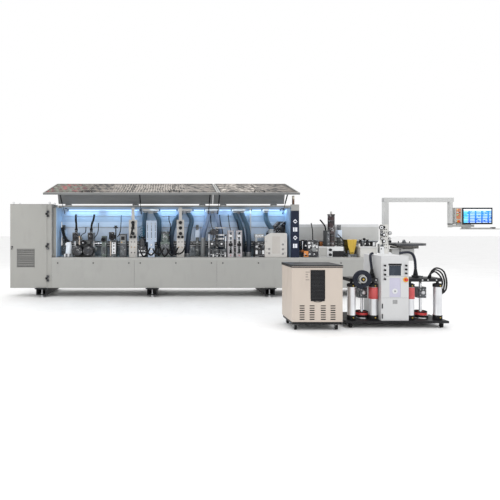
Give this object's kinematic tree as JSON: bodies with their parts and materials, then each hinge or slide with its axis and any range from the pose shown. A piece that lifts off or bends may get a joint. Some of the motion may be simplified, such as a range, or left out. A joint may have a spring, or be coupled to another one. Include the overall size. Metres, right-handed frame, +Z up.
{
  "type": "edge banding machine",
  "caption": "Long edge banding line with two lift-up hoods, working units, panel conveyor, swivelling control panel, and a glue melter cart and chiller beside it",
  "frame": {"origin": "centre of the footprint, on the floor", "axes": "+X runs along the machine towards the infeed end and the control panel, +Y away from the operator, +Z up"},
  "size_m": [9.4674, 3.652, 2.1297],
  "materials": {
    "alu": "drawn aluminium tube",
    "amber": "translucent lens",
    "black": "black paint",
    "black_plastic": "black moulded plastic",
    "chrome": "hard chrome",
    "cream": "cream paint",
    "dark": "dark grey paint",
    "felt": "cloth buffing disc",
    "glass": "dark reflecting window pane",
    "hose": "corrugated dust hose",
    "light": "lit diffuser",
    "mid": "mid grey paint",
    "navy": "dark navy paint",
    "pale": "smooth light grey paint",
    "red": "red plastic",
    "red_paint": "red enamel",
    "rubber": "black rubber",
    "steel": "ground steel",
    "warm": "fine textured powder coat"
  },
  "bodies": {
    "frame": {"bed_frame": "warm", "lower_covers": "pale", "support_feet": "black", "levelling_bolts": "steel", "uprights": "pale", "back_wall": "pale", "corner_column": "navy", "light_bars": "light", "signal_tower": "amber", "cabinet_shell": "warm", "cabinet_hinges": "black", "chain_track": "steel", "conveyor_chain": "black_plastic", "premill_unit": "dark", "press_roller_unit": "black", "glue_unit": "pale", "end_trim_frame": "pale", "trimming_unit": "dark", "corner_unit": "pale", "scraper_unit": "mid", "buffing_unit": "black", "regulator_columns": "cream", "dust_hoses": "hose", "duct_boxes": "pale", "infeed_table": "pale", "tape_feeder": "pale", "control_mast": "pale", "melter_cart": "black", "melter_cabinet": "pale", "melter_cylinders": "alu", "melter_hoses": "hose", "chiller_housing": "cream", "chiller_grille": "black_plastic", "cart_casters": "rubber"},
    "hood_left": {"left_hood": "mid", "left_windows": "glass"},
    "hood_right": {"right_hood": "mid", "right_windows": "glass"},
    "left_rods": {"left_strut_rods": "chrome"},
    "right_rods": {"right_strut_rods": "chrome"},
    "left_cylinders": {"left_strut_cylinders": "black"},
    "right_cylinders": {"right_strut_cylinders": "black"},
    "door": {"cabinet_door": "warm"},
    "beam": {"pressure_beam": "mid", "pressure_rollers": "rubber"},
    "sprocket": {"drive_sprocket": "steel"},
    "cutter_1": {"premill_cutter_1": "steel"},
    "cutter_2": {"premill_cutter_2": "steel"},
    "press": {"press_roller": "steel"},
    "glue": {"glue_roller": "steel"},
    "saw_front": {"end_trim_saw_front": "red_paint"},
    "saw_rear": {"end_trim_saw_rear": "red_paint"},
    "wheel_upper": {"buff_wheel_upper": "felt"},
    "wheel_lower": {"buff_wheel_lower": "felt"},
    "coil": {"coil_tray": "pale"},
    "boom": {"control_boom": "pale"},
    "panel": {"control_panel": "pale"},
    "stop_button": {"panel_emergency_stop": "red"},
    "ram_left": {"melter_left_ram": "chrome"},
    "ram_right": {"melter_right_ram": "chrome"}
  },
  "joints": [
    {"name": "left_hood_lift", "type": "hinge", "parent": "frame", "child": "hood_left", "pos_m": [-2.45375, 1.256, 1.735], "axis": [1, 0, 0], "range_deg": [0, 70]},
    {"name": "right_hood_lift", "type": "hinge", "parent": "frame", "child": "hood_right", "pos_m": [-0.26175, 1.256, 1.735], "axis": [1, 0, 0], "range_deg": [0, 70]},
    {"name": "left_strut_swing", "type": "hinge", "parent": "frame", "child": "left_rods", "pos_m": [-2.33175, 1.116, 1.56], "axis": [1, 0, 0], "range_deg": [-1, 90.52]},
    {"name": "left_strut_stroke", "type": "slide", "parent": "left_rods", "child": "left_cylinders", "axis": [0, -0.724, 0.6898], "range_m": [-0.2034, 0.001]},
    {"name": "right_strut_swing", "type": "hinge", "parent": "frame", "child": "right_rods", "pos_m": [-0.26175, 1.116, 1.56], "axis": [1, 0, 0], "range_deg": [-1, 90.52]},
    {"name": "right_strut_stroke", "type": "slide", "parent": "right_rods", "child": "right_cylinders", "axis": [0, -0.724, 0.6898], "range_m": [-0.2034, 0.001]},
    {"name": "door_swing", "type": "hinge", "parent": "frame", "child": "door", "pos_m": [-4.04375, 0.772, 0.9], "axis": [0, 0, 1], "range_deg": [0, 110]},
    {"name": "beam_lift", "type": "slide", "parent": "frame", "child": "beam", "axis": [0, 0, 1], "range_m": [-0.02, 0.03]},
    {"name": "sprocket_turn", "type": "hinge", "parent": "frame", "child": "sprocket", "pos_m": [-3.88175, 1.366, 0.871], "axis": [0, 1, 0], "continuous": true},
    {"name": "premill_cutter_1_spin", "type": "hinge", "parent": "frame", "child": "cutter_1", "pos_m": [1.61825, 1.19, 0.9], "axis": [0, 0, 1], "continuous": true},
    {"name": "premill_cutter_2_spin", "type": "hinge", "parent": "frame", "child": "cutter_2", "pos_m": [1.70225, 1.19, 0.9], "axis": [0, 0, 1], "continuous": true},
    {"name": "press_roller_spin", "type": "hinge", "parent": "frame", "child": "press", "pos_m": [1.01325, 1.156, 0.95], "axis": [0, 0, 1], "continuous": true},
    {"name": "glue_roller_spin", "type": "hinge", "parent": "frame", "child": "glue", "pos_m": [1.15825, 1.19, 0.95], "axis": [0, 0, 1], "continuous": true},
    {"name": "front_saw_slide", "type": "slide", "parent": "frame", "child": "saw_front", "axis": [0.7071, 0, 0.7071], "range_m": [-0.1, 0.1]},
    {"name": "rear_saw_slide", "type": "slide", "parent": "frame", "child": "saw_rear", "axis": [0.7071, 0, 0.7071], "range_m": [-0.1, 0.1]},
    {"name": "upper_buff_spin", "type": "hinge", "parent": "frame", "child": "wheel_upper", "pos_m": [-3.54775, 1.19, 1.062], "axis": [0, 1, 0], "continuous": true},
    {"name": "lower_buff_spin", "type": "hinge", "parent": "frame", "child": "wheel_lower", "pos_m": [-3.26575, 1.19, 0.866], "axis": [0, 1, 0], "continuous": true},
    {"name": "coil_tray_spin", "type": "hinge", "parent": "frame", "child": "coil", "pos_m": [2.73825, 1.124, 0.95], "axis": [0, 0, 1], "continuous": true},
    {"name": "boom_swivel", "type": "hinge", "parent": "frame", "child": "boom", "pos_m": [2.58175, 1.5335, 1.84], "axis": [0, 0, 1], "range_deg": [-90, 60]},
    {"name": "panel_swivel", "type": "hinge", "parent": "boom", "child": "panel", "pos_m": [3.89075, 1.5335, 1.32], "axis": [0, 0, 1], "range_deg": [-60, 60]},
    {"name": "emergency_stop_press", "type": "slide", "parent": "panel", "child": "stop_button", "axis": [0, 1, 0], "range_m": [0, 0.006], "stiffness_N_per_m": 900},
    {"name": "left_ram_lift", "type": "slide", "parent": "frame", "child": "ram_left", "axis": [0, 0, 1], "range_m": [0, 0.08]},
    {"name": "right_ram_lift", "type": "slide", "parent": "frame", "child": "ram_right", "axis": [0, 0, 1], "range_m": [0, 0.08]}
  ],
  "couplings": [
    {"joint": "left_strut_swing", "follows": "left_hood_lift", "ratio": 1.2788},
    {"joint": "left_strut_stroke", "follows": "left_hood_lift", "m_per_rad": -0.16404},
    {"joint": "right_strut_swing", "follows": "right_hood_lift", "ratio": 1.2788},
    {"joint": "right_strut_stroke", "follows": "right_hood_lift", "m_per_rad": -0.16404}
  ]
}
